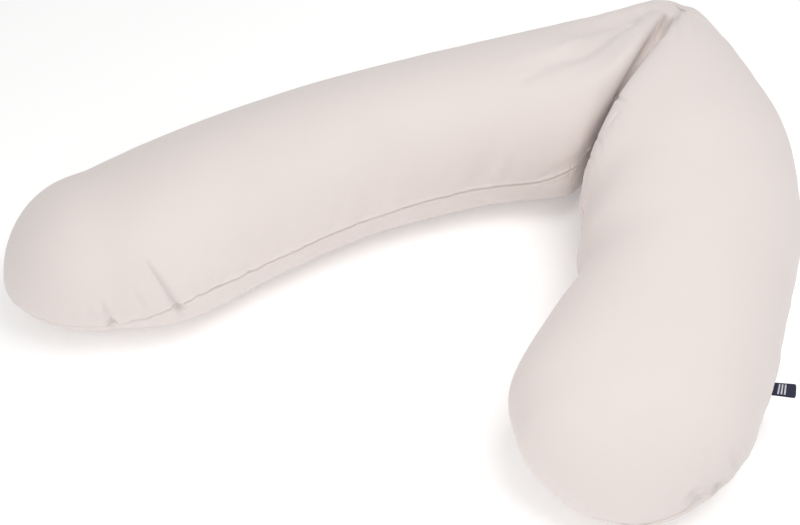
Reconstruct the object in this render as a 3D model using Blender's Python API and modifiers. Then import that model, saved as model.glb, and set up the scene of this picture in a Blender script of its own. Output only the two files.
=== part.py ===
"""A long body pillow, bent sharply at its elbow and lying flat on a floor, with a woven label in its seam.

Metres, +Z up. The pillow rests on z = 0, and the origin is under the middle of its box. Seen from above,
one arm runs to the left and the other comes towards -Y. Both arms keep the crown and the drawn-in sides
of a filled tube, and at the elbow a deep crease parts them into two cheeks.
"""

import math
from typing import NamedTuple

import bmesh
import bpy
from mathutils import Vector
from mathutils.bvhtree import BVHTree

# How far a section would reach below the floor if it weren't flattened there, as a share of its edge height.
FLOOR_BITE = 0.16

# The cage: points round a section, rings between two rows of the table, and rings of a rounded end.
POINTS_ROUND = 28
RINGS_PER_ROW = 2
END_RINGS = 5


class Section(NamedTuple):
    """One upright slice across the pillow, from the inner side of the bend to the outer side."""

    place: str
    inner: tuple  # x and y of its widest point on the inner side
    outer: tuple  # x and y of its widest point on the outer side
    edge_in: float  # height of the inner widest point
    edge_out: float  # height of the outer widest point
    crown: float  # height of the top
    top_at: float  # where the top stands, as a share of the way from the inner side to the outer


SECTIONS = [
    Section("left end", (-0.334, -0.162), (-0.397, 0.028), 0.070, 0.080, 0.175, 0.50),
    Section("left arm", (-0.249, -0.143), (-0.344, 0.070), 0.073, 0.080, 0.184, 0.50),
    Section("left arm", (-0.147, -0.071), (-0.258, 0.120), 0.073, 0.080, 0.188, 0.50),
    Section("left arm", (-0.034, 0.000), (-0.137, 0.186), 0.073, 0.080, 0.188, 0.50),
    Section("left arm", (0.090, 0.045), (0.008, 0.249), 0.073, 0.080, 0.187, 0.50),
    Section("left arm", (0.160, 0.058), (0.099, 0.286), 0.070, 0.080, 0.186, 0.50),
    Section("left shoulder", (0.204, 0.065), (0.213, 0.328), 0.065, 0.090, 0.184, 0.50),
    Section("left cheek", (0.226, 0.082), (0.287, 0.367), 0.065, 0.100, 0.180, 0.50),
    Section("left lip", (0.242, 0.116), (0.338, 0.392), 0.065, 0.105, 0.170, 0.52),
    Section("crease", (0.266, 0.160), (0.381, 0.403), 0.030, 0.105, 0.153, 0.82),
    Section("right lip", (0.248, 0.108), (0.419, 0.384), 0.085, 0.105, 0.175, 0.46),
    Section("right cheek", (0.229, 0.060), (0.450, 0.324), 0.085, 0.100, 0.191, 0.45),
    Section("right shoulder", (0.217, 0.013), (0.479, 0.228), 0.085, 0.090, 0.197, 0.47),
    Section("right arm", (0.211, -0.030), (0.492, 0.120), 0.080, 0.085, 0.198, 0.50),
    Section("right arm", (0.202, -0.076), (0.484, 0.015), 0.080, 0.080, 0.194, 0.50),
    Section("right arm", (0.187, -0.127), (0.459, -0.085), 0.080, 0.080, 0.190, 0.50),
    Section("right arm", (0.145, -0.200), (0.420, -0.185), 0.080, 0.080, 0.188, 0.50),
    Section("right end", (0.105, -0.282), (0.387, -0.272), 0.080, 0.080, 0.183, 0.50),
]
LEFT_TIP = Vector((-0.474, -0.107, 0.066))
RIGHT_TIP = Vector((0.224, -0.425, 0.060))

# The label: a folded tab of woven tape that stands out of the outer seam of the right arm.
LABEL_ROOT = Vector((0.386, -0.277, 0.080))
LABEL_OUT = Vector((0.985, -0.174, 0.0))
LABEL_LENGTH = 0.024
LABEL_WIDTH = 0.017
LABEL_THICKNESS = 0.0016
LABEL_SAG = 0.0010
LABEL_GAP = 0.0005
LABEL_COLUMNS = 5
LABEL_ROWS = 6

COVER_COLOUR = (0.77, 0.70, 0.66, 1.0)
LABEL_COLOUR = (0.014, 0.018, 0.047, 1.0)


def between(rows, t):
    """The section at t rows along the table, on a smooth curve through every row."""
    at = min(int(t), len(rows) - 2)
    part = t - at
    near = [rows[min(max(at + step, 0), len(rows) - 1)] for step in (-1, 0, 1, 2)]
    weights = (
        ((2 - part) * part - 1) * part / 2,
        ((3 * part - 5) * part * part + 2) / 2,
        ((4 - 3 * part) * part + 1) * part / 2,
        (part - 1) * part * part / 2,
    )

    def mixed(*values):
        return sum(weight * value for weight, value in zip(weights, values))

    return Section(
        near[1].place,
        tuple(mixed(*pair) for pair in zip(*(row.inner for row in near))),
        tuple(mixed(*pair) for pair in zip(*(row.outer for row in near))),
        *(mixed(*(row[column] for row in near)) for column in range(3, 7)),
    )


def ring(section):
    """The points round a section, from the inner widest point over the crown and back under the pillow."""
    inner, outer = Vector(section.inner), Vector(section.outer)
    skew = math.log(section.top_at) / math.log(0.5)
    points = []
    for step in range(POINTS_ROUND):
        turn = 2 * math.pi * step / POINTS_ROUND
        rise = math.sin(turn)
        across = 0.5 - 0.5 * math.cos(turn)
        if rise > 0:
            across = across**skew
        edge = section.edge_in + (section.edge_out - section.edge_in) * across
        if rise > 0:
            height = edge + (section.crown - edge) * rise
        else:
            height = max(0.0, edge * (1 + (1 + FLOOR_BITE) * rise))
        points.append(Vector((*inner.lerp(outer, across), height)))
    return points


def rounded_end(last, tip):
    """Rings that draw a section in to a tip, the outermost first."""
    middle = sum(last, Vector()) / len(last)
    middle.z = tip.z
    rings = []
    for step in range(END_RINGS - 1, 0, -1):
        turn = math.pi / 2 * step / END_RINGS
        centre = middle.lerp(tip, math.sin(turn))
        rings.append([centre + (point - middle) * math.cos(turn) for point in last])
    return rings


def pillow_cage():
    """The rings of the whole pillow, from the left tip to the right tip."""
    last_row = len(SECTIONS) - 1
    count = last_row * RINGS_PER_ROW
    body = [ring(between(SECTIONS, step / RINGS_PER_ROW)) for step in range(count + 1)]
    right = rounded_end(body[-1], RIGHT_TIP)
    return rounded_end(body[0], LEFT_TIP) + body + right[::-1]


def build_pillow():
    """The whole cushion, one filled solid, lofted ring by ring and closed with a fan at each tip."""
    rings = pillow_cage()
    cage = bmesh.new()
    loops = [[cage.verts.new(point) for point in points] for points in rings]
    for near, far in zip(loops, loops[1:]):
        for step in range(POINTS_ROUND):
            after = (step + 1) % POINTS_ROUND
            cage.faces.new((near[step], near[after], far[after], far[step]))
    for tip, loop in ((LEFT_TIP, loops[0]), (RIGHT_TIP, loops[-1])):
        pole = cage.verts.new(tip)
        for step in range(POINTS_ROUND):
            cage.faces.new((pole, loop[step], loop[(step + 1) % POINTS_ROUND]))
    pillow = finished("pillow", cage, COVER_COLOUR, 0.85)
    smooth = pillow.modifiers.new("Subdivision", "SUBSURF")
    smooth.levels = smooth.render_levels = 1
    return pillow


def label_slice():
    """The outline of the label seen along its width: reach and height, round the fold and back."""
    half = LABEL_THICKNESS / 2
    straight = LABEL_LENGTH - half
    reaches = [straight * step / LABEL_ROWS for step in range(LABEL_ROWS + 1)]
    sags = [-LABEL_SAG * (reach / LABEL_LENGTH) ** 2 for reach in reaches]
    upper = [(reach, sag + half) for reach, sag in zip(reaches, sags)]
    lower = [(reach, sag - half) for reach, sag in zip(reaches, sags)]
    fold = [
        (straight + half * math.cos(turn), sags[-1] + half * math.sin(turn))
        for turn in (math.pi / 4, 0.0, -math.pi / 4)
    ]
    return upper + fold + lower[::-1]


def build_label(pillow):
    """The folded label, as one thin solid whose root follows the pillow's side just clear of it."""
    graph = bpy.context.evaluated_depsgraph_get()
    cover = BVHTree.FromObject(pillow, graph)
    along = Vector((LABEL_OUT.y, -LABEL_OUT.x, 0.0))
    tab = bmesh.new()
    columns = []
    for step in range(LABEL_COLUMNS + 1):
        start = LABEL_ROOT + along * LABEL_WIDTH * (step / LABEL_COLUMNS - 0.5)
        root = cover.ray_cast(start + LABEL_OUT * 0.1, -LABEL_OUT)[0] + LABEL_OUT * LABEL_GAP
        column = [root + LABEL_OUT * reach + Vector((0, 0, up)) for reach, up in label_slice()]
        columns.append([tab.verts.new(point) for point in column])
    count = len(columns[0])
    for near, far in zip(columns, columns[1:]):
        for step in range(count):
            after = (step + 1) % count
            tab.faces.new((near[step], near[after], far[after], far[step]))
    tab.faces.new(columns[0])
    tab.faces.new(columns[-1][::-1])
    return finished("label", tab, LABEL_COLOUR, 0.7)


def finished(name, cage, colour, roughness):
    """An object made of the cage, its faces turned outwards, with its own material."""
    bmesh.ops.recalc_face_normals(cage, faces=cage.faces)
    mesh = bpy.data.meshes.new(name)
    cage.to_mesh(mesh)
    cage.free()
    mesh.shade_smooth()
    material = bpy.data.materials.new(name)
    material.use_nodes = True
    shader = material.node_tree.nodes["Principled BSDF"]
    shader.inputs["Base Color"].default_value = colour
    shader.inputs["Roughness"].default_value = roughness
    shader.inputs["Metallic"].default_value = 0.0
    mesh.materials.append(material)
    piece = bpy.data.objects.new(name, mesh)
    parts.objects.link(piece)
    return piece


def centre_on_floor(pieces):
    """Moves every piece so that the middle of their common box stands over the origin, its floor at zero."""
    graph = bpy.context.evaluated_depsgraph_get()
    points = [vertex.co for piece in pieces for vertex in piece.evaluated_get(graph).data.vertices]
    low = Vector([min(point[axis] for point in points) for axis in range(3)])
    high = Vector([max(point[axis] for point in points) for axis in range(3)])
    middle = Vector(((low.x + high.x) / 2, (low.y + high.y) / 2, low.z))
    for piece in pieces:
        for vertex in piece.data.vertices:
            vertex.co -= middle


for old in list(bpy.data.objects):
    bpy.data.objects.remove(old)
parts = bpy.data.collections.new("body_pillow")
bpy.context.scene.collection.children.link(parts)
cushion = build_pillow()
centre_on_floor([cushion, build_label(cushion)])
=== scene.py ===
# %% [markdown]
# # A long body pillow
#
# The real thing is a long tube of two cotton panels, filled until it is firm and joined by one seam that
# runs all the way round. Here it lies on its back, bent so sharply at its elbow that a deep crease parts
# the two arms. Blender could inflate a flat pattern and bend it, but then nobody could say where the bend
# ends up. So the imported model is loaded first, as a fixed frame, and the cover is lofted inside it from a
# table of sections, as a sail maker draws a hull. Folds, seam and weave are then laid on that surface.

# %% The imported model, and its box
import math
from typing import NamedTuple

import bmesh
import bpy
import numpy as np
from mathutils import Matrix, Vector
from mathutils.bvhtree import BVHTree


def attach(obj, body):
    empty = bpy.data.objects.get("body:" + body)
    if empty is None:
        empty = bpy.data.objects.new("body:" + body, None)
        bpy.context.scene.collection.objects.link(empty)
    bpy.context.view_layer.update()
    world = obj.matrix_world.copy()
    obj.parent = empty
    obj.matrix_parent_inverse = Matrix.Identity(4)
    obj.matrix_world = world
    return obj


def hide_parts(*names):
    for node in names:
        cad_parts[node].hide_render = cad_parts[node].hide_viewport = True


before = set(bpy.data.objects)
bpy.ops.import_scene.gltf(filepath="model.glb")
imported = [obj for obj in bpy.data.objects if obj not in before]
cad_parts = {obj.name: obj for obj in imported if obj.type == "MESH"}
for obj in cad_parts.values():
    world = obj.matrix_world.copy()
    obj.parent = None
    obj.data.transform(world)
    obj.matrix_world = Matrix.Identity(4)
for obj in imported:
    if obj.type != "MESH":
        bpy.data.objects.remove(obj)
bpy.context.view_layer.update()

# %% [markdown]
# ## The camera
#
# The photograph looks down on the pillow at 45 degrees from about a metre and a half. A long lens would
# flatten the two arms, and a short one would swell the near end, so the lens is set from how much smaller
# the far end of the bend looks. Depth of field stays off: the whole pillow is sharp in the photograph.

# %% The camera at the photographer's place
EYE = (-0.016, -1.0315, 1.036)
LOOKING_DOWN = math.radians(45)
SENSOR_WIDTH = 36.0
LENS = 51.75
PHOTO_WIDE, PHOTO_HIGH = 800, 525


def placed(name, data):
    """A new object in the scene."""
    made = bpy.data.objects.new(name, data)
    bpy.context.scene.collection.objects.link(made)
    return made


camera = placed("camera", bpy.data.cameras.new("camera"))
camera.data.sensor_width = SENSOR_WIDTH
camera.data.lens = LENS
camera.location = EYE
camera.rotation_euler = (math.pi / 2 - LOOKING_DOWN, 0.0, 0.0)
bpy.context.scene.camera = camera
bpy.context.scene.view_settings.view_transform = "Standard"
print("the camera sees", round(2 * math.degrees(math.atan(SENSOR_WIDTH / 2 / LENS)), 1), "degrees across")

# %% [markdown]
# ## Maths on sockets
#
# Every finish below is a small program of shader nodes. Wiring those by hand takes ten lines for one sum,
# so one class wraps a socket and turns Python's own signs into Math nodes, and another adds any other
# node. An expression such as `1 - gap * 0.5` then reads as what it does. The tree that sews the stitches
# is made by the same class.


# %% Sockets that can be added and multiplied
class Socket:
    """A node's output, with the signs of arithmetic. Each sign adds one Math node."""

    def __init__(self, tree, output):
        self.tree, self.output = tree, output

    def maths(self, operation, *inputs):
        return self.tree.add("ShaderNodeMath", {"operation": operation}, dict(enumerate(inputs)))

    def __add__(self, other):
        return self.maths("ADD", self, other)

    def __sub__(self, other):
        return self.maths("SUBTRACT", self, other)

    def __rsub__(self, other):
        return self.maths("SUBTRACT", other, self)

    def __mul__(self, other):
        return self.maths("MULTIPLY", self, other)

    def __truediv__(self, other):
        return self.maths("DIVIDE", self, other)

    __radd__ = __add__
    __rmul__ = __mul__

    def sine(self):
        return self.maths("SINE", self)

    def floor(self):
        return self.maths("FLOOR", self)

    def size(self):
        return self.maths("ABSOLUTE", self)

    def above(self, limit):
        return self.maths("GREATER_THAN", self, limit)

    def kept(self, low, high):
        return self.maths("MAXIMUM", self.maths("MINIMUM", self, high), low)


class Tree:
    """A tree of nodes. add() makes any node: its settings first, then its sockets."""

    def __init__(self, tree):
        self.tree = tree

    def add(self, kind, settings=None, sockets=None, output=0):
        node = self.tree.nodes.new(kind)
        for name, value in (settings or {}).items():
            setattr(node, name, value)
        self.feed(node, sockets or {})
        return Socket(self, node.outputs[output]) if node.outputs else None

    def feed(self, node, sockets):
        for name, value in sockets.items():
            if isinstance(value, Socket):
                self.tree.links.new(value.output, node.inputs[name])
            else:
                node.inputs[name].default_value = value


class Finish(Tree):
    """The tree of a new material."""

    def __init__(self, name):
        self.material = bpy.data.materials.new(name)
        self.material.use_nodes = True
        super().__init__(self.material.node_tree)
        self.shader = self.tree.nodes["Principled BSDF"]

    def noise(self, place, scale, detail=2.0):
        """Soft random values round 0.5, with `scale` cells to the metre."""
        return self.add("ShaderNodeTexNoise", None, {"Vector": place, "Scale": scale, "Detail": detail})

    def stretched(self, place, factors):
        return self.add("ShaderNodeMapping", None, {"Vector": place, "Scale": factors})

    def tint(self, factor, colour, other):
        """One colour where the factor is 0 and the other where it is 1."""
        return self.add("ShaderNodeMix", {"data_type": "RGBA"}, {0: factor, 6: colour, 7: other}, output=2)

    def split(self, place):
        """The X and the Y of a place."""
        parts = self.add("ShaderNodeSeparateXYZ", None, {0: place}).output.node.outputs
        return Socket(self, parts["X"]), Socket(self, parts["Y"])

    def bumped(self, height, distance, strength):
        sockets = {"Height": height, "Distance": distance, "Strength": strength}
        return self.add("ShaderNodeBump", None, sockets)


# %% [markdown]
# ## Floor and light
#
# The photograph was cut out on pure white. A plain floor that is nearly white, under a wide soft light
# from the camera's side, gives the same even picture and keeps a soft shadow, so that the pillow still
# rests on something. A small hard lamp would draw black edges that the photograph doesn't have.

# %% A plain pale floor
FLOOR_DROP = 0.0003
FLOOR_REACH = 8.0
FLOOR_GLOW = 0.13

floor_mesh = bpy.data.meshes.new("floor")
floor_signs = ((-1, -1), (1, -1), (1, 1), (-1, 1))
corners = [(x * FLOOR_REACH, y * FLOOR_REACH, -FLOOR_DROP) for x, y in floor_signs]
floor_mesh.from_pydata(corners, [], [(0, 1, 2, 3)])
floor = placed("floor", floor_mesh)
floor_finish = Finish("studio_floor")
floor_finish.feed(floor_finish.shader, {
    "Base Color": (0.985, 0.985, 0.985, 1.0),
    "Roughness": 0.9,
    "Emission Color": (1.0, 1.0, 1.0, 1.0),
    "Emission Strength": FLOOR_GLOW,
})
floor_mesh.materials.append(floor_finish.material)

# %% Soft studio light
AIR = 0.625
LAMPS = [
    # name, place, aimed at, width, power, colour
    ("over the short arm", (0.55, -0.2, 1.7), (0.2, 0.0, 0.1), 1.0, 12.0, (1.0, 0.99, 0.98)),
    ("left front", (-0.7, -1.5, 1.0), (0.0, 0.0, 0.1), 1.0, 3.0, (1.0, 0.99, 0.98)),
    ("beside the camera", (-0.2, -1.3, 0.7), (0.0, 0.0, 0.1), 1.0, 2.4, (1.0, 0.99, 0.98)),
]

world = bpy.data.worlds.new("studio")
world.use_nodes = True
world.node_tree.nodes["Background"].inputs["Color"].default_value = (1.0, 1.0, 1.0, 1.0)
world.node_tree.nodes["Background"].inputs["Strength"].default_value = AIR
bpy.context.scene.world = world
for name, place, aim, width, power, colour in LAMPS:
    lamp = placed(name, bpy.data.lights.new(name, "AREA"))
    lamp.data.size, lamp.data.energy, lamp.data.color = width, power, colour
    lamp.location = place
    lamp.visible_camera = False
    lamp.rotation_euler = (Vector(aim) - Vector(place)).to_track_quat("-Z", "Y").to_euler()
print(len(LAMPS), "lamps and an even sky")

# %% [markdown]
# ## The sections of the pillow
#
# A pillow is easiest to draw as slices, as a loaf is. Each row below is one upright slice, from the inner
# side of the bend to the outer side: where its two widest points are, how high those stand, how high the
# crown is and where the crown sits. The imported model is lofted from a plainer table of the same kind. The
# last four columns are for the cloth alone: how far the crown rolls along the pillow, which closes the
# crease as two cheeks close on each other, and how far the seam is pulled up from the widest line,
# because the cover twists where it is bent.


# %% The table of sections
class Section(NamedTuple):
    """One slice across the pillow, in metres and degrees."""

    inner: tuple
    outer: tuple
    edge_in: float
    edge_out: float
    crown: float
    top_at: float
    roll_in: float = 0.0
    roll_out: float = 0.0
    seam_in: float = 0
    seam_out: float = 0


SECTIONS = [
    # inner, outer, edge in, edge out, crown, top at, roll in, roll out, seam in, seam out
    Section((-0.335, -0.159), (-0.396, 0.027), 0.069, 0.084, 0.175, 0.46, 0.0, 0.0, -20, 0),
    Section((-0.250, -0.147), (-0.344, 0.068), 0.073, 0.089, 0.185, 0.45, 0.0, 0.0, 1, 0),
    Section((-0.147, -0.071), (-0.258, 0.120), 0.073, 0.093, 0.190, 0.45),
    Section((-0.034, 0.001), (-0.137, 0.188), 0.073, 0.095, 0.190, 0.44),
    Section((0.090, 0.049), (0.008, 0.254), 0.073, 0.095, 0.190, 0.44),
    Section((0.160, 0.063), (0.099, 0.293), 0.070, 0.096, 0.190, 0.43),
    Section((0.201, 0.066), (0.213, 0.341), 0.068, 0.098, 0.189, 0.42, 0.002, 0.0, 8, 0),
    Section((0.219, 0.078), (0.287, 0.375), 0.072, 0.102, 0.184, 0.40, 0.014, 0.0, 11, 4),
    Section((0.238, 0.110), (0.338, 0.401), 0.080, 0.106, 0.177, 0.42, 0.024, 0.018, 18, 14),
    Section((0.263, 0.150), (0.373, 0.405), 0.122, 0.119, 0.156, 0.50, 0.008, 0.014, 26, 28),
    Section((0.270, 0.142), (0.397, 0.398), 0.120, 0.118, 0.149, 0.52, 0.002, 0.010, 34, 44),
    Section((0.254, 0.096), (0.418, 0.365), 0.112, 0.109, 0.187, 0.46, -0.002, 0.004, 32, 54),
    Section((0.226, 0.050), (0.442, 0.308), 0.100, 0.102, 0.198, 0.43, -0.008, 0.006, 20, 34),
    Section((0.210, 0.006), (0.471, 0.223), 0.100, 0.094, 0.199, 0.41, -0.004, 0.002, 10, 10),
    Section((0.211, -0.034), (0.488, 0.120), 0.090, 0.090, 0.199, 0.42, 0.0, 0.0, 2, 0),
    Section((0.199, -0.081), (0.482, 0.015), 0.086, 0.085, 0.195, 0.43, 0.0, 0.0, -4, 0),
    Section((0.194, -0.131), (0.460, -0.085), 0.085, 0.084, 0.191, 0.44, 0.0, 0.0, -10, -2),
    Section((0.150, -0.200), (0.421, -0.186), 0.084, 0.082, 0.189, 0.46, 0.0, 0.0, -20, -4),
    Section((0.106, -0.279), (0.389, -0.272), 0.082, 0.080, 0.184, 0.48, 0.0, 0.0, -34, -8),
    Section((0.109, -0.333), (0.359, -0.330), 0.080, 0.078, 0.172, 0.49, 0.0, 0.0, -34, -9),
]
LEFT_TIP = np.array((-0.481, -0.094, 0.044))
RIGHT_TIP = np.array((0.232, -0.416, 0.035))
LEFT_NOSE, RIGHT_NOSE = (1.0, 1.16), (1.2, 1.2)
DRAWING_ORIGIN = np.array((0.0066, -0.0115, 0.0))
FLOOR_BITE = 0.16  # how far a slice would reach below the floor, as a share of its edge's height
ROLL_FROM, ROLL_TO = 0.15, 0.55  # where roll_in gives way to roll_out, as a share of the way across
LAST = len(SECTIONS) - 1
ROWS = np.array([(*row.inner, *row.outer, *row[2:]) for row in SECTIONS], float)
print(len(SECTIONS), "sections and two tips")

# %% [markdown]
# ## From slices to one smooth skin
#
# A station counts along the pillow: 0 is the first row, 19 the last, and one more at each end reaches the
# tip. A turn counts round it: 0 at the inner seam, a quarter turn at the crown, half a turn at the outer
# seam. A smooth curve through the rows gives a slice at any station. A bevelled curve would be quicker,
# but it can't lie flat on a floor or fold at a crease. The skin is kept as a plain grid of points, and
# every later step only moves those points.


# %% Slices at any station
def taps(part):
    """The weights of the four nearest values, for a smooth curve through all of them."""
    return (
        ((2 - part) * part - 1) * part / 2,
        ((3 * part - 5) * part * part + 2) / 2,
        ((4 - 3 * part) * part + 1) * part / 2,
        (part - 1) * part * part / 2,
    )


def through(rows, at):
    """Values at fractional rows, on a smooth curve through every row."""
    start = np.clip(np.floor(at).astype(int), 0, len(rows) - 2)
    near = [rows[np.clip(start + step, 0, len(rows) - 1)] for step in (-1, 0, 1, 2)]
    return sum(weight * values for weight, values in zip(taps((at - start)[:, None]), near))


def fade(values, low, high):
    """0 below low, 1 above high, and a smooth step between them."""
    part = np.clip((values - low) / (high - low), 0, 1)
    return part * part * (3 - 2 * part)


def slices(stations, turns):
    """The grid of points of the bare skin, one slice for each station."""
    rows = through(ROWS, np.clip(stations, 0, LAST))
    inner, outer = rows[:, None, 0:2], rows[:, None, 2:4]
    edge_in, edge_out, crown, top_at = (rows[:, None, column] for column in range(4, 8))
    roll_in, roll_out, seam_in, seam_out = (rows[:, None, column] for column in range(8, 12))
    inward = (1 + np.cos(turns)) / 2
    turned = turns + np.radians(seam_in) * inward**2 - np.radians(seam_out) * (1 - inward) ** 2
    rise = np.sin(turned)
    across = 0.5 - 0.5 * np.cos(turned)
    across = np.where(rise > 0, across ** (np.log(top_at) / np.log(0.5)), across)
    edge = edge_in + (edge_out - edge_in) * across
    over = edge + (crown - edge) * rise
    under = np.maximum(0.0, edge * (1 + (1 + FLOOR_BITE) * rise))
    width = outer - inner
    ahead = np.stack([width[..., 1], -width[..., 0]], -1) / np.linalg.norm(width, axis=-1, keepdims=True)
    roll = roll_in + (roll_out - roll_in) * fade(across, ROLL_FROM, ROLL_TO)
    lean = (roll * np.clip(rise, 0, None) ** 2)[..., None] * ahead
    place = inner + width * across[..., None] + lean
    return np.concatenate([place, np.where(rise > 0, over, under)[..., None]], -1)


def closed_in(points, stations, first, tip, nose):
    """Draws the slices beyond station `first` in to a tip, on a quarter of an oval.

    The nose holds two powers. The higher the first, the later the slices go forward, and the higher the
    second, the sooner they narrow.
    """
    middle = points.mean(1, keepdims=True)
    middle[..., 2] = tip[2]
    beyond = np.clip((stations - first) * np.sign(first - LAST / 2), 0, 1)
    swing = (beyond * math.pi / 2)[:, None, None]
    centre = middle + (tip - middle) * np.sin(swing) ** nose[0]
    return np.where(swing > 0, centre + (points - middle) * np.cos(swing) ** nose[1], points)


# %% The skin on an even grid, softened as a filling softens it
EVEN_STEP = 0.05
EVEN_TURNS = 160
SOFT_ALONG, SOFT_ROUND = 1.8, 1.3
POLE_RINGS = 12


def bell(values, sigma, axis):
    """A running average with a bell-shaped weight, which wraps round."""
    reach = int(3 * sigma) + 1
    weights = np.exp(-0.5 * (np.arange(-reach, reach + 1) / sigma) ** 2)
    rolled = (np.roll(values, step, axis) * weight for step, weight in enumerate(weights, -reach))
    return sum(rolled) / weights.sum()


def past_tips(grid, rings=POLE_RINGS):
    """The grid with some rings more at each end: beyond a tip, a ring comes back on the far side."""
    half = grid.shape[1] // 2
    before = np.roll(grid[1 : rings + 1], half, 1)[::-1]
    after = np.roll(grid[-rings - 1 : -1], half, 1)[::-1]
    return np.concatenate([before, grid, after])


def softened(grid, along, round_):
    wide = bell(bell(past_tips(grid), along, 0), round_, 1)
    return wide[POLE_RINGS:-POLE_RINGS]


even_stations = np.arange(-1, LAST + 1 + EVEN_STEP / 2, EVEN_STEP)
even_turns = np.arange(EVEN_TURNS) * 2 * math.pi / EVEN_TURNS
skin = slices(even_stations, even_turns)
skin = closed_in(skin, even_stations, 0, LEFT_TIP, LEFT_NOSE)
skin = closed_in(skin, even_stations, LAST, RIGHT_TIP, RIGHT_NOSE) - DRAWING_ORIGIN
skin = softened(skin, SOFT_ALONG, SOFT_ROUND)
skin[..., 2] -= skin[..., 2].min()
print("bare skin:", skin.shape[0], "slices of", skin.shape[1], "points")

# %% [markdown]
# ## Room for detail where it is needed
#
# A seam is two millimetres wide and an arm of the pillow is half a metre long. An even mesh fine enough
# for the first would waste a million faces on the second. So the finished grid has its own spacing:
# columns crowd at both seams, and rings crowd at the folds of the left end and of the elbow. Subdivision
# can't do this, because it splits every face alike.

# %% The fine grid's spacing
RINGS, COLUMNS = 516, 190
UPPER_COLUMNS = 120
RING_CROWDING = [
    # at a station, how closely the rings follow each other
    (-1, 2.2), (0, 2.6), (2.2, 2.0), (3.4, 1.3), (5, 1.0), (6.5, 1.3), (8, 1.6),
    (9.2, 3.0), (11, 3.0), (12, 1.7), (13, 1.4), (15, 1.0), (17, 1.5), (20, 2.0),
]
SEAM_CROWDING, SEAM_SPREAD = 9.0, 0.10
FINE_STEPS = 4000


def spaced(count, places, crowding):
    """Places along a range, close together where the crowding is high."""
    shares = (crowding[1:] + crowding[:-1]) / 2 * np.diff(places)
    total = np.concatenate([[0], np.cumsum(shares)])
    return np.interp(np.linspace(0, total[-1], count), total, places)


along = np.linspace(-1, LAST + 1, FINE_STEPS)
stations = spaced(RINGS + 2, along, np.interp(along, *zip(*RING_CROWDING)))[1:-1]
half_turn = np.linspace(0, math.pi, FINE_STEPS)
near_seam = np.minimum(half_turn, math.pi - half_turn) / SEAM_SPREAD
column_crowding = 1 + SEAM_CROWDING * np.exp(-(near_seam**2))
upper = spaced(UPPER_COLUMNS, half_turn, column_crowding)
lower = spaced(COLUMNS - UPPER_COLUMNS + 2, half_turn, column_crowding)
turns = np.concatenate([upper, math.pi + lower[1:-1]])
OUTER_SEAM = UPPER_COLUMNS - 1  # its column, where the inner seam's is 0
print("fine grid:", len(stations), "rings of", len(turns), "points")


# %% Reading the even grid at any place
def read(grid, at_stations, at_turns):
    """The even grid's values where the two lists cross, on smooth curves both ways."""
    wide = past_tips(grid)
    row = (np.asarray(at_stations) + 1) / EVEN_STEP + POLE_RINGS
    column = np.asarray(at_turns) / (2 * math.pi) * EVEN_TURNS
    ring, slot = np.floor(row).astype(int), np.floor(column).astype(int)
    shape = (-1,) + (1,) * (grid.ndim - 1)
    lengthwise = sum(w.reshape(shape) * wide[ring + k - 1] for k, w in enumerate(taps(row - ring)))
    shape = (1, -1) + (1,) * (grid.ndim - 2)
    picked = (lengthwise[:, (slot + k - 1) % EVEN_TURNS] for k in range(4))
    return sum(w.reshape(shape) * values for w, values in zip(taps(column - slot), picked))


def outward(points):
    """The direction straight out of the skin at every point of a grid."""
    wide = past_tips(points, 1)
    lengthwise = wide[2:] - wide[:-2]
    roundwise = np.roll(points, -1, 1) - np.roll(points, 1, 1)
    normal = np.cross(lengthwise, roundwise)
    return normal / np.maximum(np.linalg.norm(normal, axis=-1, keepdims=True), 1e-12)


def walk_along(points):
    """How far each point of a line lies from its first, along the line."""
    return np.concatenate([[0], np.cumsum(np.linalg.norm(np.diff(points, axis=0), axis=1))])


cloth = read(skin, stations, turns)
crown_walk = walk_along(cloth[:, UPPER_COLUMNS // 2])
print("ring spacing in mm:", round(1000 * crown_walk[-1] / (RINGS - 1), 1))

# %% [markdown]
# ## A cloth simulation, for the slack
#
# A filled cover is never as smooth as a drawing. The seam is a little shorter than the cloth on both
# sides of it, so the cloth gathers there in shallow dimples. Blender's Cloth can find those by itself:
# the skin is blown up from inside while its seam shrinks. Only the small waves are kept and the broad
# swelling is taken out, since the sections already say how fat the pillow is.

# %% Blowing up a coarse copy
SIM_RINGS, SIM_COLUMNS = 236, 88
SIM_FRAMES = 20
FABRIC = {
    "quality": 5, "mass": 0.25,
    "tension_stiffness": 12, "compression_stiffness": 12, "shear_stiffness": 4, "bending_stiffness": 0.08,
    "use_pressure": True, "uniform_pressure_force": 4.0,
    "vertex_group_shrink": "seam", "shrink_min": 0.0, "shrink_max": 0.06,
}
SHRINK_SHARES = (1.0, 0.6, 0.15)  # on a seam's own column, the next on each side, and the one after
BROAD_ALONG, BROAD_ROUND = 3.9, 8.0
SLACK_SHARE = 0.3
SLACK_LIMIT = 0.0015


def grid_quads(rings, columns):
    ring, column = np.meshgrid(np.arange(rings - 1), np.arange(columns), indexing="ij")
    here, after = ring * columns + column, ring * columns + (column + 1) % columns
    return np.stack([here, here + columns, after + columns, after], -1).reshape(-1, 4)


def grid_mesh(name, points, tips):
    """A closed mesh of a grid: quads between its rings, and a fan at each tip."""
    rings, columns = points.shape[:2]
    quads = grid_quads(rings, columns)
    one, two = np.arange(columns), (np.arange(columns) + 1) % columns
    last, pole = (rings - 1) * columns, rings * columns
    fans = [np.stack([np.full(columns, pole), one, two], -1),
            np.stack([np.full(columns, pole + 1), last + two, last + one], -1)]
    mesh = bpy.data.meshes.new(name)
    faces = quads.tolist() + fans[0].tolist() + fans[1].tolist()
    mesh.from_pydata(np.concatenate([points.reshape(-1, 3), tips]).tolist(), [], faces)
    return mesh


def tips_of(points):
    return points[[0, -1]].mean(1)


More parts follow.
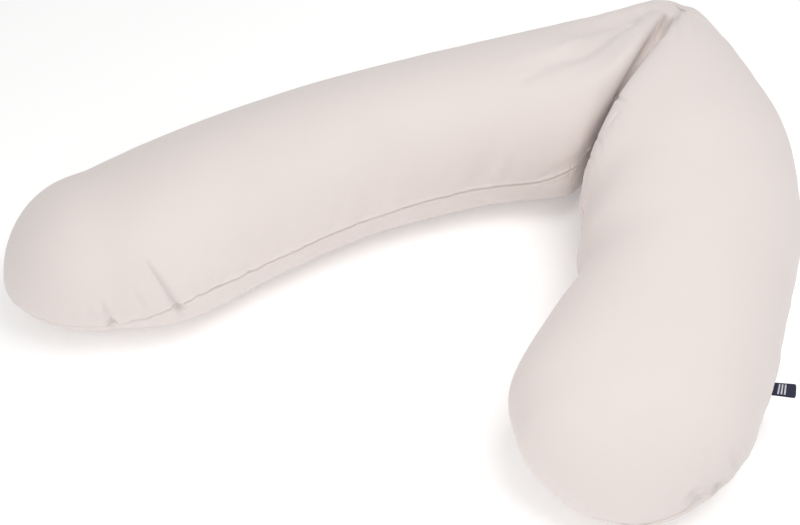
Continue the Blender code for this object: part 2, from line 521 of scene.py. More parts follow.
def slack():
    """How each point of the even grid moves when the cover is blown up, as small waves only."""
    some_stations = np.linspace(-1, LAST + 1, SIM_RINGS + 2)[1:-1]
    some_turns = np.arange(SIM_COLUMNS) * 2 * math.pi / SIM_COLUMNS
    start = read(skin, some_stations, some_turns)
    blown = placed("blown", grid_mesh("blown", start, tips_of(start)))
    seam = blown.vertex_groups.new(name="seam")
    count = SIM_RINGS * SIM_COLUMNS
    for offset, share in enumerate(SHRINK_SHARES):
        for side in (0, SIM_COLUMNS // 2):
            for step in {offset, -offset}:
                column = (side + step) % SIM_COLUMNS
                seam.add(list(range(column, count, SIM_COLUMNS)), share, "REPLACE")
    seam.add([count, count + 1], 1.0, "REPLACE")
    fabric = blown.modifiers.new("cloth", "CLOTH")
    for setting, value in FABRIC.items():
        setattr(fabric.settings, setting, value)
    fabric.settings.effector_weights.gravity = 0
    fabric.collision_settings.use_collision = False
    fabric.point_cache.frame_start, fabric.point_cache.frame_end = 1, SIM_FRAMES
    for step in range(1, SIM_FRAMES + 1):
        bpy.context.scene.frame_set(step)
    graph = bpy.context.evaluated_depsgraph_get()
    moved = np.empty((count + 2) * 3)
    blown.evaluated_get(graph).data.vertices.foreach_get("co", moved)
    moved = moved.reshape(-1, 3)[:count].reshape(start.shape) - start
    bpy.data.objects.remove(blown)
    bpy.context.scene.frame_set(1)
    print("blown up by", round(1000 * np.linalg.norm(moved, axis=-1).mean(), 1), "mm on average")
    ring = np.clip(np.interp(even_stations, some_stations, np.arange(SIM_RINGS)), 0, SIM_RINGS - 1.001)
    low = ring.astype(int)
    part = (ring - low)[:, None, None]
    column = even_turns / (2 * math.pi) * SIM_COLUMNS
    left = column.astype(int)
    share = (column - left)[None, :, None]
    lengthwise = moved[low] * (1 - part) + moved[low + 1] * part
    grid = lengthwise[:, left] * (1 - share) + lengthwise[:, (left + 1) % SIM_COLUMNS] * share
    return grid - softened(grid, BROAD_ALONG, BROAD_ROUND)


slack_grid = slack()
slack_grid *= SLACK_SHARE
size = np.linalg.norm(slack_grid, axis=-1, keepdims=True)
slack_grid *= SLACK_LIMIT / np.maximum(size, SLACK_LIMIT)
print("slack: at most", round(1000 * size.max(), 1), "mm before it is held to", 1000 * SLACK_LIMIT)

# %% Laying the slack on the skin
CREASE_IN, CREASE_OUT = (6.8, 8.0), (12.2, 13.4)  # the stations over which the crease begins and ends
CREASE_TAKES = 0.8
FLOOR_HOLDS, FLOOR_FREES = 0.004, 0.03
SLACK_BY_SEAM = 6  # a power of the turn's cosine, which is 1 at a seam and 0 at the crown

in_crease = fade(stations, *CREASE_IN) * (1 - fade(stations, *CREASE_OUT))
off_floor = fade(cloth[..., 2], FLOOR_HOLDS, FLOOR_FREES)
slack_share = off_floor * (1 - CREASE_TAKES * in_crease[:, None]) * np.cos(turns) ** SLACK_BY_SEAM
cloth = cloth + read(slack_grid, stations, turns) * slack_share[..., None]

# %% [markdown]
# ## Folds laid one by one
#
# The photograph shows a few folds that no simulation would put in just those places: one deep wrinkle and
# some lesser ones where the left end's seam turns, faint long ones where the left arm is pulled into the
# elbow, the pit of the crease, tucks on the lip of the right arm, gathers that spread from the corner,
# and dents at the near end. Each row below is one fold, drawn where the photograph has it. A ray from the
# camera carries each of its pixels onto the skin, so that it lies on the cloth when it is seen from any
# side.


# %% The table of folds
class Fold(NamedTuple):
    """A trough, or a ridge where the depth is negative. All but the line is in mm."""

    place: str
    line: tuple  # in pixels of the photograph
    widths: tuple  # half the width at its start and at its end
    depth: float
    banks: tuple  # the height of its banks, left and right of the way that the line runs
    strength: tuple  # at its start, middle and end


FOLDS = [
    # place, line, widths, depth, banks, strength
    Fold("left end, deep wrinkle", ((145, 260), (152, 271), (160, 282), (172, 300), (180, 310)),
         (1.8, 4.2), 5.2, (1.6, 0.5), (0.3, 0.75, 1.2)),
    Fold("left end, below its seam", ((180, 309), (185, 318)),
         (4.5, 5.0), 3.5, (0.5, 0.5), (1.0, 0.8, 0.4)),
    Fold("left end, branch", ((158, 294), (166, 299)), (1.8, 2.0), 0.8, (0.1, 0.1), (0.3, 1.0, 0.3)),
    Fold("left end, second wrinkle", ((99, 300), (106, 313), (113, 324)),
         (2.6, 5.0), 5.0, (1.4, 0.5), (0.2, 0.7, 1.2)),
    Fold("left end, below its seam", ((113, 323), (118, 332)),
         (4.5, 5.0), 3.5, (0.5, 0.5), (1.0, 0.8, 0.4)),
    Fold("left end", ((132, 290), (139, 301), (146, 313)), (4.5, 6.0), 2.4, (0.9, 0.4), (0.1, 1.0, 0.7)),
    Fold("left end", ((84, 302), (88, 312), (93, 321)), (4.5, 5.0), 2.0, (0.6, 0.5), (0.1, 1.0, 0.5)),
    Fold("left end", ((120, 306), (125, 312), (130, 319)), (3.4, 4.0), 1.4, (0.5, 0.3), (0.2, 1.0, 0.6)),
    Fold("left end", ((66, 312), (70, 318), (74, 324)), (4.0, 5.0), 1.0, (0.4, 0.3), (0.2, 1.0, 0.6)),
    Fold("left end, dip", ((140, 243), (154, 252), (172, 256)),
         (9.0, 9.0), 0.6, (0.0, 0.0), (0.2, 1.0, 0.2)),
    Fold("left arm", ((186, 278), (193, 287), (200, 297)), (4.5, 5.5), 2.2, (0.9, 0.4), (0.2, 1.0, 0.8)),
    Fold("left arm", ((205, 268), (211, 277), (217, 287)), (4.5, 5.0), 1.7, (0.6, 0.4), (0.2, 1.0, 0.7)),
    Fold("left arm", ((225, 264), (228, 273), (233, 281)), (3.5, 4.0), 1.3, (0.4, 0.3), (0.2, 1.0, 0.7)),
    Fold("left arm", ((242, 262), (246, 268), (251, 273)), (2.4, 3.0), 1.5, (0.4, 0.3), (0.2, 1.0, 0.9)),
    Fold("elbow, far slope", ((641, 7), (622, 14), (602, 22), (582, 30)),
         (20.0, 24.0), 14.5, (0.0, 0.0), (0.9, 1.0, 0.5)),
    Fold("elbow, pulled cloth", ((634, 16), (614, 28), (599, 40), (580, 52), (556, 59), (528, 71)),
         (11.0, 16.0), 11.0, (0.0, 0.0), (0.9, 1.0, 0.3)),
    Fold("elbow, its ridge", ((659, 14), (643, 35), (618, 64), (593, 82), (560, 96)),
         (8.0, 18.0), -7.0, (0.0, 0.0), (0.9, 1.0, 0.2)),
    Fold("elbow, pulled cloth", ((513, 85), (528, 77), (543, 68)),
         (6.0, 6.0), 2.2, (1.0, 0.5), (0.2, 1.0, 0.2)),
    Fold("elbow, behind its ridge", ((548, 54), (566, 44), (583, 34)),
         (7.0, 7.0), -2.0, (0.0, 0.0), (0.2, 1.0, 0.3)),
    Fold("crease, its pit", ((668, 18), (666, 22), (663, 27), (659, 35), (655, 42)),
         (4.4, 3.0), 18.0, (0.0, 0.0), (1.0, 0.5, 0.0)),
    Fold("right lip, its edge", ((674, 12), (671, 24), (669, 35), (654, 48), (643, 61), (633, 73),
         (623, 85), (617, 96)), (5.0, 5.0), -1.6, (0.0, 0.0), (0.3, 1.0, 0.5)),
    Fold("right lip, notch", ((616, 97), (622, 101), (629, 106)),
         (3.0, 4.0), 2.4, (0.5, 0.5), (1.0, 0.8, 0.1)),
    Fold("right lip, tuck", ((617, 114), (611, 121), (608, 130)),
         (2.6, 3.0), 1.8, (0.4, 0.3), (1.0, 0.8, 0.1)),
    Fold("right lip, tuck", ((596, 136), (600, 144), (601, 154)),
         (2.4, 3.0), 1.5, (0.4, 0.3), (1.0, 0.8, 0.1)),
    Fold("right lip, tuck", ((587, 153), (592, 160), (594, 170)),
         (2.4, 3.0), 1.2, (0.3, 0.3), (1.0, 0.8, 0.1)),
    Fold("corner, gather", ((687, 12), (689, 22), (692, 38)),
         (3.5, 4.5), -1.5, (-0.3, -0.3), (0.5, 1.0, 0.1)),
    Fold("corner, gather", ((694, 18), (696, 28), (697, 44)), (3.5, 5.0), 1.2, (0.2, 0.2), (0.3, 1.0, 0.1)),
    Fold("corner, gather", ((677, 18), (677, 32), (680, 50)), (4.0, 6.0), 1.5, (0.3, 0.3), (0.6, 1.0, 0.1)),
    Fold("corner, gather", ((704, 26), (704, 38), (702, 56)), (4.0, 6.0), 0.8, (0.2, 0.2), (0.3, 1.0, 0.1)),
    Fold("right cheek", ((643, 101), (651, 97), (661, 96)), (3.5, 4.5), 0.5, (0.1, 0.1), (0.3, 1.0, 0.2)),
    Fold("near end, dent", ((694, 493), (697, 497), (702, 502)),
         (4.5, 12.0), 7.6, (0.0, 0.0), (0.8, 1.0, 1.0)),
    Fold("near end, dent's upper edge", ((688, 491), (695, 489), (704, 491), (715, 495)),
         (4.0, 5.0), -2.2, (0.0, 0.0), (0.3, 1.0, 0.7)),
    Fold("near end, dent's lower edge", ((689, 494), (687, 500), (684, 506)),
         (4.0, 5.0), -1.0, (0.0, 0.0), (0.6, 1.0, 0.6)),
    Fold("near end, dent", ((717, 483), (720, 487), (723, 491)),
         (3.5, 7.5), 6.5, (0.0, 0.0), (0.8, 1.0, 0.9)),
    Fold("near end, dent's upper edge", ((713, 481), (720, 480), (728, 483)),
         (3.0, 4.0), -1.8, (0.0, 0.0), (0.4, 1.0, 0.6)),
    Fold("near end, pucker", ((729, 451), (733, 461), (737, 471)),
         (3.5, 5.0), 3.2, (0.8, 0.6), (0.2, 1.0, 0.8)),
    Fold("near end, pucker", ((742, 430), (744, 440), (747, 449)),
         (4.0, 5.0), 1.6, (0.5, 0.4), (0.2, 1.0, 0.7)),
    Fold("near end, pucker", ((706, 470), (710, 479), (714, 488)),
         (4.5, 5.0), 2.0, (0.6, 0.4), (0.2, 1.0, 0.7)),
    Fold("near end, pucker", ((672, 485), (676, 497), (678, 509)),
         (6.0, 7.0), 2.4, (0.6, 0.6), (0.2, 1.0, 0.8)),
]

# %% From the photograph onto the skin
LINE_PIXELS, LINE_POINTS = 48, 150
LINE_SMOOTHING = 7
BANK_AT = 1.7  # how far from the middle a bank lies, in half widths
RINGS_ASIDE, COLUMNS_ASIDE = 60, 28
AHEAD = np.array((0, math.cos(LOOKING_DOWN), -math.sin(LOOKING_DOWN)))
UPWARD = np.array((0, math.sin(LOOKING_DOWN), math.cos(LOOKING_DOWN)))
ZOOM = LENS / SENSOR_WIDTH * PHOTO_WIDE


def seen_at(pixels, tree):
    """Where the rays through some pixels first meet the skin, and the ring and column they meet it at."""
    found = []
    for x, y in pixels:
        ray = AHEAD - (y - PHOTO_HIGH / 2) / ZOOM * UPWARD
        ray[0] += (x - PHOTO_WIDE / 2) / ZOOM
        point, _, face, _ = tree.ray_cast(Vector(EYE), Vector(ray).normalized())
        if point is not None:
            found.append((*point, *divmod(face, COLUMNS)))
    found = np.array(found)
    return found[:, :3], found[:, 3:].astype(int)


def calmed(values):
    """A short running average of a list, which keeps its two ends."""
    padded = np.pad(values, LINE_SMOOTHING // 2, "reflect", reflect_type="odd")
    return np.convolve(padded, np.full(LINE_SMOOTHING, 1 / LINE_SMOOTHING), "valid")


def pressed(fold, points, normals, tree):
    """How far a fold pushes each point of the skin out along its normal."""
    control = np.array(fold.line, float)
    pixels = through(control, np.linspace(0, len(control) - 1, LINE_PIXELS))
    centre, slots = seen_at(pixels, tree)
    centre = np.stack([calmed(values) for values in centre.T], 1)
    walked = walk_along(centre)
    even = np.linspace(0, walked[-1], LINE_POINTS)
    along_it = np.interp(even, walked, np.linspace(0, 1, len(centre)))
    centre = np.stack([np.interp(even, walked, values) for values in centre.T], 1)
    strength = np.interp(along_it, (0, 0.5, 1), fold.strength)
    widths = np.interp(along_it, (0, 1), fold.widths) / 1000
    turned = (slots[:, 1] - slots[0, 1] + COLUMNS // 2) % COLUMNS
    columns = (np.arange(COLUMNS) - slots[0, 1] + COLUMNS // 2) % COLUMNS
    rings = np.arange(RINGS)
    near_columns = (columns > turned.min() - COLUMNS_ASIDE) & (columns < turned.max() + COLUMNS_ASIDE)
    near_rings = (rings > slots[:, 0].min() - RINGS_ASIDE) & (rings < slots[:, 0].max() + RINGS_ASIDE)
    near = near_rings[:, None] & near_columns
    chosen = points[near]
    gaps = np.linalg.norm(chosen[:, None] - centre[None], axis=-1)
    closest = gaps.argmin(1)
    gap, width = gaps.min(1), widths[closest]
    tangent = np.gradient(centre, axis=0)
    tangent /= np.linalg.norm(tangent, axis=1, keepdims=True)
    offset = chosen - centre[closest]
    aside = np.einsum("ij,ij->i", offset, np.cross(normals[near], tangent[closest]))
    aside = np.copysign(np.minimum(np.abs(aside), gap), aside) / width
    beyond = np.maximum((gap / width) ** 2 - aside**2, 0)
    shape = -fold.depth * np.exp(-(aside**2))
    shape += fold.banks[0] * np.exp(-((aside - BANK_AT) ** 2))
    shape += fold.banks[1] * np.exp(-((aside + BANK_AT) ** 2))
    pushed = np.zeros(points.shape[:2])
    pushed[near] = shape / 1000 * strength[closest] * np.exp(-beyond)
    return pushed


# %% Laying the folds on the skin
normals = outward(cloth)
skin_quads = grid_quads(RINGS, COLUMNS).tolist()
skin_tree = BVHTree.FromPolygons(cloth.reshape(-1, 3).tolist(), skin_quads)
pushes = [pressed(fold, cloth, normals, skin_tree) for fold in FOLDS]
cloth = cloth + sum(pushes)[..., None] * normals
print(len(FOLDS), "folds, the deepest", round(-1000 * min(push.min() for push in pushes), 1), "mm")

# %% [markdown]
# ## Seam
#
# The two panels are sewn inside out and turned, so what shows is a narrow channel with the upper panel's
# edge rolling over it. The stitches pull the cloth in a little at every few millimetres, and unevenly. A
# separate strip of piping would be the quick way, but the real seam is nothing but cloth, so it is
# pressed into the same skin. It is shallower where a deep fold crosses it, or else its two banks would
# pass through each other.

# %% The seam's channel
CHANNEL_DEPTH, CHANNEL_WIDTH = 0.0019, 0.0016
UPPER_ROLL, UPPER_ROLL_AT, UPPER_ROLL_WIDTH = 0.0009, 0.0036, 0.0022
LOWER_ROLL, LOWER_ROLL_AT, LOWER_ROLL_WIDTH = 0.0004, 0.0036, 0.0024
PUCKER, PUCKER_REACH = 0.0007, 0.009
RIPPLE_LENGTH, SWELL_LENGTH = 3.2, 30  # of the puckers, and of the stretches where they swell, in mm
SWELL_LEAST, SWELL_MORE = 0.45, 0.35
RIPPLE_SEEDS, SWELL_SEEDS = (11, 12), (20, 21)
PINCHES = [
    # where the cloth is squeezed: on the inner seam or not, at which station, how many stations it reaches
    (True, 9.0, 0.6),
    (False, 19.72, 0.25),
]
CALMING_FOLD = 0.003  # a fold this deep halves the channel


def walk_round(points):
    """How far each point lies round its slice from the inner seam, and the whole girth last."""
    steps = np.linalg.norm(np.roll(points, -1, 1) - points, axis=-1)
    return np.concatenate([np.zeros((len(points), 1)), np.cumsum(steps, 1)], 1)


def from_seam(points):
    """How far each point lies from the nearer seam along its slice, above it positive."""
    walked = walk_round(points)
    from_inner = walked[:, :-1]
    to_outer = walked[:, [OUTER_SEAM]] - from_inner
    to_inner = walked[:, -1:] - from_inner
    above = np.arange(COLUMNS) <= OUTER_SEAM
    distance = np.where(above, np.minimum(from_inner, to_outer), -np.minimum(-to_outer, to_inner))
    inner_side = np.where(above, from_inner < to_outer, to_inner < -to_outer)
    return distance, inner_side


def wander(count, sigma, seed):
    """A smooth random line with an average height of one."""
    line = bell(np.random.default_rng(seed).standard_normal(count), sigma, 0)
    return line / line.std()


seam_away, inner_side = from_seam(cloth)
ring_walk = walk_along(cloth.mean(1))
each_mm = np.arange(0, ring_walk[-1] + 0.002, 0.001)
ripples = []
for seed, swell_seed in zip(RIPPLE_SEEDS, SWELL_SEEDS):
    line = wander(len(each_mm), RIPPLE_LENGTH, seed)
    swell = SWELL_LEAST + SWELL_MORE * np.abs(wander(len(each_mm), SWELL_LENGTH, swell_seed))
    ripples.append(np.interp(ring_walk, each_mm, line * swell)[:, None])
ripple = np.where(inner_side, *ripples)


def ridge(distance, place, width):
    return np.exp(-(((distance - place) / width) ** 2))


channel = -CHANNEL_DEPTH * ridge(seam_away, 0, CHANNEL_WIDTH)
channel += UPPER_ROLL * ridge(seam_away, UPPER_ROLL_AT, UPPER_ROLL_WIDTH)
channel += LOWER_ROLL * ridge(seam_away, -LOWER_ROLL_AT, LOWER_ROLL_WIDTH)
channel += PUCKER * ripple * np.exp(-((seam_away / PUCKER_REACH) ** 2))
flattened = sum((inner_side == inner) * ridge(stations, at, reach)[:, None] for inner, at, reach in PINCHES)
calm = (1 - flattened) / (1 + (sum(pushes) / CALMING_FOLD) ** 2)
cloth = cloth + (channel * calm)[..., None] * outward(cloth)
cloth[..., 2] = np.maximum(cloth[..., 2], 0.0)
print("seam: a channel", 1000 * CHANNEL_DEPTH, "mm deep")

# %% [markdown]
# ## The cover as one closed mesh
#
# The grid becomes a mesh of four-sided faces with a fan at each tip. Two things that the material needs
# are stored with it: a UV map in metres, along and round the pillow, so that the weave runs with the
# cloth as it would on a cut panel, and each point's distance from the seam, which sets the painted shade
# in the seam's channel. Reading the weave from the object's own X, Y and Z would be simpler, but it would
# slide off the cloth's direction at the bend.

# %% The cover
cover = placed("pillow_cover", grid_mesh("pillow_cover", cloth, tips_of(cloth)))
cover.data.shade_smooth()

round_walk = walk_round(cloth)
from_crown = round_walk - round_walk[:, [UPPER_COLUMNS // 2]]
loops = np.empty(len(cover.data.loops), int)
cover.data.loops.foreach_get("vertex_index", loops)
sides = np.empty(len(cover.data.polygons), int)
cover.data.polygons.foreach_get("loop_total", sides)
face_of_loop = np.repeat(np.arange(len(sides)), sides)
ring_of = np.append(np.repeat(np.arange(RINGS), COLUMNS), [0, RINGS - 1])
column_of = np.append(np.tile(np.arange(COLUMNS), RINGS), [0, 0])
loop_ring, loop_column = ring_of[loops], column_of[loops]
highest = np.zeros(len(sides), int)
np.maximum.at(highest, face_of_loop, loop_column)
wrapped = (loop_column == 0) & (highest[face_of_loop] == COLUMNS - 1)
loop_column = np.where(wrapped, COLUMNS, loop_column)
uv = np.stack([ring_walk[loop_ring], from_crown[loop_ring, loop_column]], 1)
cover.data.uv_layers.new(name="panel").data.foreach_set("uv", uv.ravel())
near = cover.data.attributes.new("from_seam", "FLOAT", "POINT")
near.data.foreach_set("value", np.append(seam_away.ravel(), [0.0, 0.0]))
print("cover:", len(cover.data.polygons), "faces,", sum(sides - 2), "triangles")

# %% [markdown]
# ## Cotton
#
# The cover is a fine plain weave in a pale warm grey. Seen close, threads run both ways and pass over and
# under each other; seen from a metre away, only slight unevenness of the threads is left, and a soft
# sheen at the edges from loose fibres. A picture of cloth would tile, so the threads are sine waves on
# the UV map, bent a little by noise. Within about two millimetres of the seam the colour is painted
# darker: painted shade, standing in for the shadow down in the seam's channel.

# %% The cotton finish
COTTON = (0.745, 0.678, 0.654, 1.0)
# COTTON_DEEP is the darker tone of the random blotches and slubs, and also the painted shade at the seam.
COTTON_DEEP = (0.640, 0.560, 0.530, 1.0)
THREADS = 2 * math.pi / 0.00052
THREAD_BEND, THREAD_BEND_SCALE = 0.0006, 120.0
SLUB_ALONG, SLUB_ACROSS = 40.0, 900.0
BLOTCH_SCALE = 9.0
SEAM_SHADE_REACH = 0.0022
COTTON_SHEEN = 0.25

cotton = Finish("cover_cotton")
panel = cotton.add("ShaderNodeUVMap", {"uv_map": "panel"})
lengthwise, crosswise = cotton.split(panel)
bend = (cotton.noise(panel, THREAD_BEND_SCALE) - 0.5) * THREAD_BEND
warp = ((lengthwise + bend) * THREADS).sine()
weft = ((crosswise + bend) * THREADS).sine()
weave = warp * weft * 0.5 + 0.5
thick_warp = cotton.noise(cotton.stretched(panel, (SLUB_ALONG, SLUB_ACROSS, 1.0)), 1.0)
thick_weft = cotton.noise(cotton.stretched(panel, (SLUB_ACROSS, SLUB_ALONG, 1.0)), 1.0)
slubs = thick_warp + thick_weft
blotches = cotton.noise(panel, BLOTCH_SCALE, 3.0)
away = cotton.add("ShaderNodeAttribute", {"attribute_name": "from_seam"}, output=2)
# Painted shade: near the seam the colour turns towards COTTON_DEEP, for the shadow in its channel.
gap = 1 - (away.size() / SEAM_SHADE_REACH).kept(0.0, 1.0)
seam_shade_and_tone = gap * 0.55 + (blotches - 0.5) * 0.35 + (1.0 - slubs) * 0.14 + (0.5 - weave) * 0.10 + 0.05
colour = cotton.tint(seam_shade_and_tone.kept(0.0, 1.0), COTTON, COTTON_DEEP)
surface = cotton.bumped(weave * 0.7 + slubs * 0.6, 0.00012, 0.5)
cotton.feed(cotton.shader, {
    "Base Color": colour,
    "Roughness": 0.86 + (blotches - 0.5) * 0.08,
    "Normal": surface,
    "Sheen Weight": COTTON_SHEEN,
    "Sheen Roughness": 0.45,
    "Specular IOR Level": 0.3,
})
cover.data.materials.append(cotton.material)
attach(cover, "root")
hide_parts("pillow")

# %% [markdown]
# ## Stitches
#
# The two panels are held by a lockstitch, about three stitches to the centimetre. The filling pushes the
# panels apart, so a short bar of thread shows at each stitch, down in the channel. Modelling a thousand
# bars by hand would be endless, and an array modifier can't follow two seams, so Geometry Nodes walk
# along each seam, turn a small bar across it at every step, and vary each a little from a fixed seed.


# %% The nodes that sew
BAR_SIZES = (0.85, 1.1)


def sewing(name, bar, pitch, uneven, material):
    """A tree that lays a bar across a path at every pitch, turned by the path's own direction `out`."""
    group = bpy.data.node_groups.new(name, "GeometryNodeTree")
    group.interface.new_socket("Path", in_out="INPUT", socket_type="NodeSocketGeometry")
    for label, value in (("Pitch", pitch), ("Unevenness", uneven)):
        group.interface.new_socket(label, in_out="INPUT", socket_type="NodeSocketFloat").default_value = value
    group.interface.new_socket("Stitches", in_out="OUTPUT", socket_type="NodeSocketGeometry")
    tree = Tree(group)
    add = tree.add
    align, chance = "FunctionNodeAlignRotationToVector", "FunctionNodeRandomValue"
    given = add("NodeGroupInput").output.node.outputs
    start, spacing, most = (Socket(tree, given[label]) for label in ("Path", "Pitch", "Unevenness"))
    out = add("GeometryNodeInputNamedAttribute", {"data_type": "FLOAT_VECTOR"}, {"Name": "out"})
    path = add("GeometryNodeMeshToCurve", None, {"Mesh": start})
    stepped = add("GeometryNodeResampleCurve", {"mode": "LENGTH"}, {"Curve": path, "Length": spacing})
    along = add("GeometryNodeInputTangent")
    upright = add(align, {"axis": "Z"}, {"Vector": out})
    turned = add(align, {"axis": "X", "pivot_axis": "Z"}, {"Rotation": upright, "Vector": along})
    lean = add(chance, {"data_type": "FLOAT"}, {2: most * -1.0, 3: most, "Seed": 4}, 1)
    about_z = add("ShaderNodeCombineXYZ", None, {"Z": lean})
    leant = {"Rotation": turned, "Rotate By": about_z}
    leaning = add("FunctionNodeRotateRotation", {"rotation_space": "LOCAL"}, leant)
    shape = add("GeometryNodeObjectInfo", None, {"Object": bar}, "Geometry")
    size = add(chance, {"data_type": "FLOAT"}, {2: BAR_SIZES[0], 3: BAR_SIZES[1], "Seed": 7}, 1)
    copies = {"Points": stepped, "Instance": shape, "Rotation": leaning, "Scale": size}
    laid = add("GeometryNodeInstanceOnPoints", None, copies)
    real = add("GeometryNodeRealizeInstances", None, {"Geometry": laid})
    dressed = add("GeometryNodeSetMaterial", None, {"Geometry": real, "Material": material})
    add("NodeGroupOutput", None, {"Stitches": dressed})
    return group


def sewn(name, paths, group, sizes):
    """The stitches along some paths, as one plain mesh. A path is points, and the way out at each."""
    mesh = bpy.data.meshes.new(name + "_path")
    places, outs, edges = [], [], []
    for points, directions in paths:
        edges += [(len(places) + k, len(places) + k + 1) for k in range(len(points) - 1)]
        places += points.tolist()
        outs += directions.tolist()
    mesh.from_pydata(places, edges, [])
    direction = mesh.attributes.new("out", "FLOAT_VECTOR", "POINT")
    direction.data.foreach_set("vector", np.array(outs).ravel())
    guide = placed(name + "_path", mesh)
    nodes = guide.modifiers.new("sewing", "NODES")
    nodes.node_group = group
    for item in group.interface.items_tree:
        if item.in_out == "INPUT" and item.name in sizes:
            nodes[item.identifier] = sizes[item.name]
    graph = bpy.context.evaluated_depsgraph_get()
    plain = bpy.data.meshes.new_from_object(guide.evaluated_get(graph), depsgraph=graph)
    bpy.data.objects.remove(guide)
    plain.name = name
    return placed(name, plain)


# %% One bar of thread
BAR_PROFILE = ((-1, -0.6), (-0.6, 0.8), (0.6, 0.8), (1, -0.6))
BAR_TAPER, BAR_LIFT, BAR_SINK = 0.35, 0.5, 1.1


def ring_faces(rings, count):
    """The faces between rings of `count` points each, which close round."""
    return [
        (k * count + i, k * count + (i + 1) % count, (k + 1) * count + (i + 1) % count, (k + 1) * count + i)
        for k in range(rings - 1) for i in range(count)
    ]


def thread_bar(name, length, thickness):
    """A short bar along Y, bowed up in its middle and sunk at both ends, with four sides."""
    points = []
    for step in np.linspace(-1, 1, 5):
        half = thickness / 2 * (1 - BAR_TAPER * step**4)
        lift = thickness * (BAR_LIFT - BAR_SINK * step**4)
        points += [(x * half, step * length / 2, lift + z * half) for x, z in BAR_PROFILE]
    mesh = bpy.data.meshes.new(name)
    mesh.from_pydata(points, [], ring_faces(5, 4) + [(3, 2, 1, 0), (16, 17, 18, 19)])
    mesh.shade_smooth()
    return placed(name, mesh)


# %% The seam's stitches
STITCH_PITCH, STITCH_LENGTH, STITCH_THREAD, STITCH_LIFT = 0.0032, 0.0020, 0.00042, 0.0003
STITCH_LEAN = 0.12
RINGS_UNSEWN = 6  # at each tip
THREAD_COLOUR = (0.70, 0.62, 0.58, 1.0)
TWIST_SCALE = 900.0

thread = Finish("sewing_thread")
where = thread.add("ShaderNodeTexCoord", output=3)
bands = {"wave_type": "BANDS", "bands_direction": "DIAGONAL"}
twist = thread.add("ShaderNodeTexWave", bands, {"Vector": where, "Scale": TWIST_SCALE})
thread.feed(thread.shader, {
    "Base Color": THREAD_COLOUR,
    "Roughness": 0.6,
    "Normal": thread.bumped(twist, 0.00005, 0.4),
})

seam_out = outward(cloth)
paths = []
for column in (0, OUTER_SEAM):
    line, directions = (grid[RINGS_UNSEWN:-RINGS_UNSEWN, column] for grid in (cloth, seam_out))
    paths.append((line + STITCH_LIFT * directions, directions))
bar = thread_bar("stitch", STITCH_LENGTH, STITCH_THREAD)
bar_faces = len(bar.data.polygons)
group = sewing("seam_sewing", bar, STITCH_PITCH, STITCH_LEAN, thread.material)
stitches = sewn("seam_stitches", paths, group, {"Pitch": STITCH_PITCH, "Unevenness": STITCH_LEAN})
bpy.data.objects.remove(bar)
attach(stitches, "root")
stitch_faces = len(stitches.data.polygons)
print("stitches:", stitch_faces // bar_faces, "bars,", 2 * stitch_faces, "triangles at most")

# %% [markdown]
# ## The woven label
#
# The label is a strip of woven tape, folded in half, with both ends caught in the outer seam of the right
# arm. The seam dips there, so the label leaves it tilted and levels out towards its fold. A flat box
# would look like a plastic tag, so the tape is drawn as one thin band that goes out, turns round its fold
# and comes back a little apart. Its root is found on the seam itself, at the height in the photograph
# where the label stands.

# %% The tape's way out and back
LABEL_ROW = 389.2
LABEL_WIDTH, LABEL_REACH, TAPE = 0.017, 0.0275, 0.00040
LABEL_SUNK = 0.0016
LABEL_WAY = (0.97, -0.236)
LABEL_TILT = 0.15
LABEL_DROOP, CORNER_DROOP = 0.0008, 0.0012
LABEL_WAVE, WAVES_ACROSS, WAVES_OUT, WAVE_START = 0.0004, 2.1, 90, 0.6
LABEL_STRAIGHT = 0.92  # how wide its fold is against its root, which follows the seam
CORNER_CUT = 0.035
LAYERS_APART, FOLD_POINTS = 0.0007, 9
LABEL_COLUMNS, LABEL_STEPS = 24, 26
RIGHT_ARM_FROM = 14  # stations
RINGS_BESIDE = 14

outer_seam = cloth[:, OUTER_SEAM]
from_eye = outer_seam - np.array(EYE)
seam_row = PHOTO_HIGH / 2 - ZOOM * (from_eye @ UPWARD) / (from_eye @ AHEAD)
on_right_arm = stations > RIGHT_ARM_FROM
ring_at = np.flatnonzero(on_right_arm)[np.abs(seam_row[on_right_arm] - LABEL_ROW).argmin()]
span = np.arange(ring_at - RINGS_BESIDE, ring_at + RINGS_BESIDE + 1)
walk = walk_along(outer_seam[span])
walk -= walk[RINGS_BESIDE]
across_label = np.linspace(-0.5, 0.5, LABEL_COLUMNS + 1) * LABEL_WIDTH
roots = np.stack([np.interp(across_label, walk, outer_seam[span, axis]) for axis in range(3)], 1)
side = np.array((*LABEL_WAY, 0.0)) / np.linalg.norm(LABEL_WAY)
level = np.array((side[1], -side[0], 0.0))
level *= np.sign(level @ (roots[-1] - roots[0]))
middle_root = roots.mean(0)
print("label root in mm:", (1000 * middle_root).round(1).tolist())


def tape_profile():
    """Distance out and height of the tape's middle line: out below the fold, round it, and back."""
    straight = LABEL_REACH - LAYERS_APART
    reach = np.linspace(-LABEL_SUNK, straight, LABEL_STEPS)
    gap = LAYERS_APART * (0.55 + 0.45 * fade(reach, 0.0, straight))
    bend = np.linspace(math.pi / 2, -math.pi / 2, FOLD_POINTS)[1:-1]
    out = np.concatenate([reach, straight + LAYERS_APART * np.cos(bend), reach[::-1]])
    up = np.concatenate([gap, LAYERS_APART * np.sin(bend), -gap[::-1]])
    return out, up


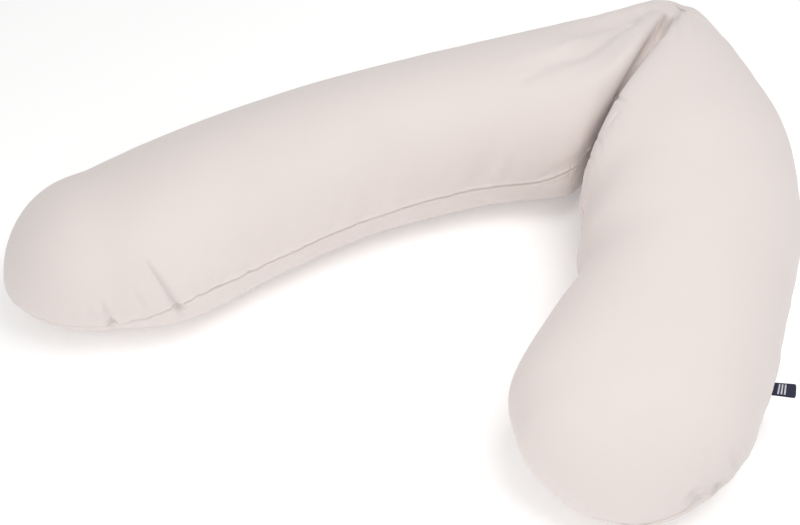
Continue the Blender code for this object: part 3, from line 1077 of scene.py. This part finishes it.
# %% The label
out, up = tape_profile()
line = np.stack([out, up], 1)
ahead = np.gradient(line, axis=0)
ahead /= np.linalg.norm(ahead, axis=1, keepdims=True)
aside = np.stack([-ahead[:, 1], ahead[:, 0]], 1) * TAPE / 2
profile = np.concatenate([line + aside, (line - aside)[::-1]])
levelled = fade(profile[:, 0], 0.0, LABEL_REACH)
points = []
for place, root in zip(across_label / LABEL_WIDTH * 2, roots):
    flat_root = middle_root + level * place * LABEL_WIDTH * LABEL_STRAIGHT / 2
    start = root + (flat_root - root) * levelled[:, None]
    shorter = 1 - CORNER_CUT * abs(place) ** 6 * levelled
    height = profile[:, 1] + LABEL_TILT * profile[:, 0]
    height += LABEL_WAVE * np.sin(WAVES_ACROSS * place + WAVE_START + WAVES_OUT * profile[:, 0]) * levelled
    height -= LABEL_DROOP * (profile[:, 0] / LABEL_REACH).clip(0) ** 2
    height -= CORNER_DROOP * levelled * place * abs(place)
    upright = np.array((0, 0, 1)) * height[:, None]
    points.append(start + side * (profile[:, 0] * shorter)[:, None] + upright)
points = np.array(points)
columns, count = points.shape[:2]
ends = []
for first in (0, (columns - 1) * count):
    last = first + count - 1
    ends += [(first + k, last - k, last - k - 1, first + k + 1) for k in range(len(line) - 1)]
label_mesh = bpy.data.meshes.new("woven_label")
label_mesh.from_pydata(points.reshape(-1, 3).tolist(), [], ring_faces(columns, count) + ends)
shell = bmesh.new()
shell.from_mesh(label_mesh)
bmesh.ops.recalc_face_normals(shell, faces=shell.faces)
shell.to_mesh(label_mesh)
shell.free()
label_mesh.shade_smooth()
label_mesh.set_sharp_from_angle(angle=math.radians(50))
walked = walk_along(line)
tape_uv = np.concatenate([walked, walked[::-1]])
corner = np.empty(len(label_mesh.loops), int)
label_mesh.loops.foreach_get("vertex_index", corner)
uv = np.stack([tape_uv[corner % count], across_label[corner // count]], 1)
label_mesh.uv_layers.new(name="tape").data.foreach_set("uv", uv.ravel())
label = placed("woven_label", label_mesh)
print("label:", round(1000 * walked[-1], 1), "mm of tape")

# %% The label's weave
NAVY = (0.012, 0.015, 0.042, 1.0)
PALE = (0.62, 0.64, 0.68, 1.0)
STRIPES_FROM, STRIPE_PITCH, STRIPE_COUNT, STRIPE_SHARE = 0.0108, 0.0032, 3, 0.5
STRIPE_MARGIN = 0.0016
LABEL_THREADS = 2 * math.pi / 0.00034

woven = Finish("label_weave")
tape = woven.add("ShaderNodeUVMap", {"uv_map": "tape"})
tape_along, tape_across = woven.split(tape)
rib = (tape_along * LABEL_THREADS).sine() * 0.5 + 0.5
pick = (tape_across * LABEL_THREADS).sine() * 0.5 + 0.5
picks = (woven.noise(woven.stretched(tape, (2500.0, 60.0, 1.0)), 1.0) - 0.5) * 0.0002
sheet_place = tape_along + picks - STRIPES_FROM
stripe_number = (sheet_place / STRIPE_PITCH).floor()
inside = sheet_place / STRIPE_PITCH - stripe_number
striped = (1 - inside.above(STRIPE_SHARE)) * stripe_number.above(-0.5)
striped = striped * (1 - stripe_number.above(STRIPE_COUNT - 0.5))
striped = striped * (1 - tape_across.size().above(LABEL_WIDTH / 2 - STRIPE_MARGIN))
woven.feed(woven.shader, {
    "Base Color": woven.tint(striped * (0.75 + rib * 0.25), NAVY, PALE),
    "Roughness": 0.62 - striped * 0.1,
    "Normal": woven.bumped(rib * 0.8 + pick * 0.5 + striped * 0.8, 0.00008, 0.6),
    "Sheen Weight": 0.1,
    "Specular IOR Level": 0.35,
})
label_mesh.materials.append(woven.material)
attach(label, "root")
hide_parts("label")
